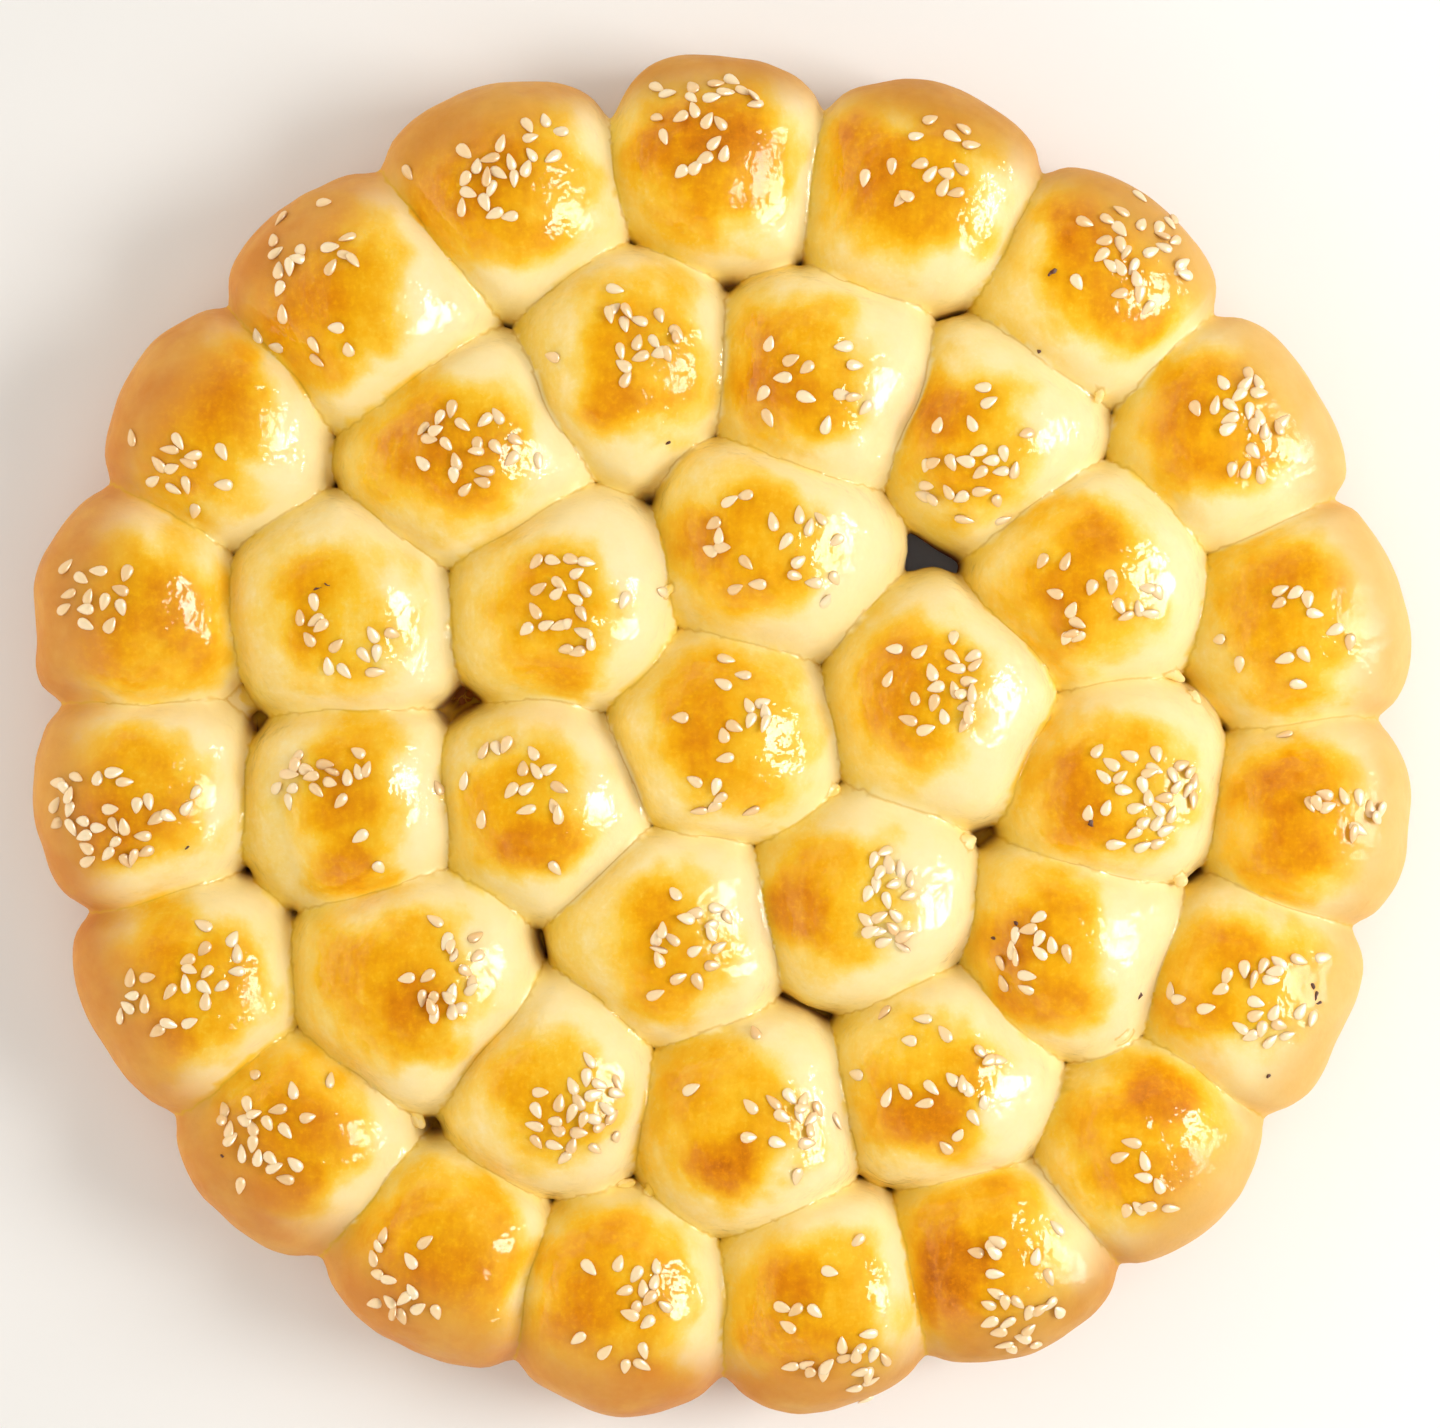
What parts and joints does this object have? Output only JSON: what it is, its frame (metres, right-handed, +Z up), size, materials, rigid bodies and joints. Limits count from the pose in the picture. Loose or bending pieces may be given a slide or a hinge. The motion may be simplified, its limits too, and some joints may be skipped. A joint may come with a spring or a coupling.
{
  "type": "pull-apart bread",
  "caption": "Round pull-apart bread of small soft rolls baked side by side, with browned glossy tops, deep creases, scattered sesame and a flat underside.",
  "frame": {"origin": "middle of the flat underside, on the surface that the bread lies on", "axes": "+Z up through the domed tops, +Y towards the top of the bread as it is shown from above"},
  "size_m": [0.2459, 0.2432, 0.0361],
  "materials": {
    "crust": "egg-washed golden crust, glossy, with sesame"
  },
  "bodies": {
    "root": {"bread": "crust"}
  },
  "joints": []
}
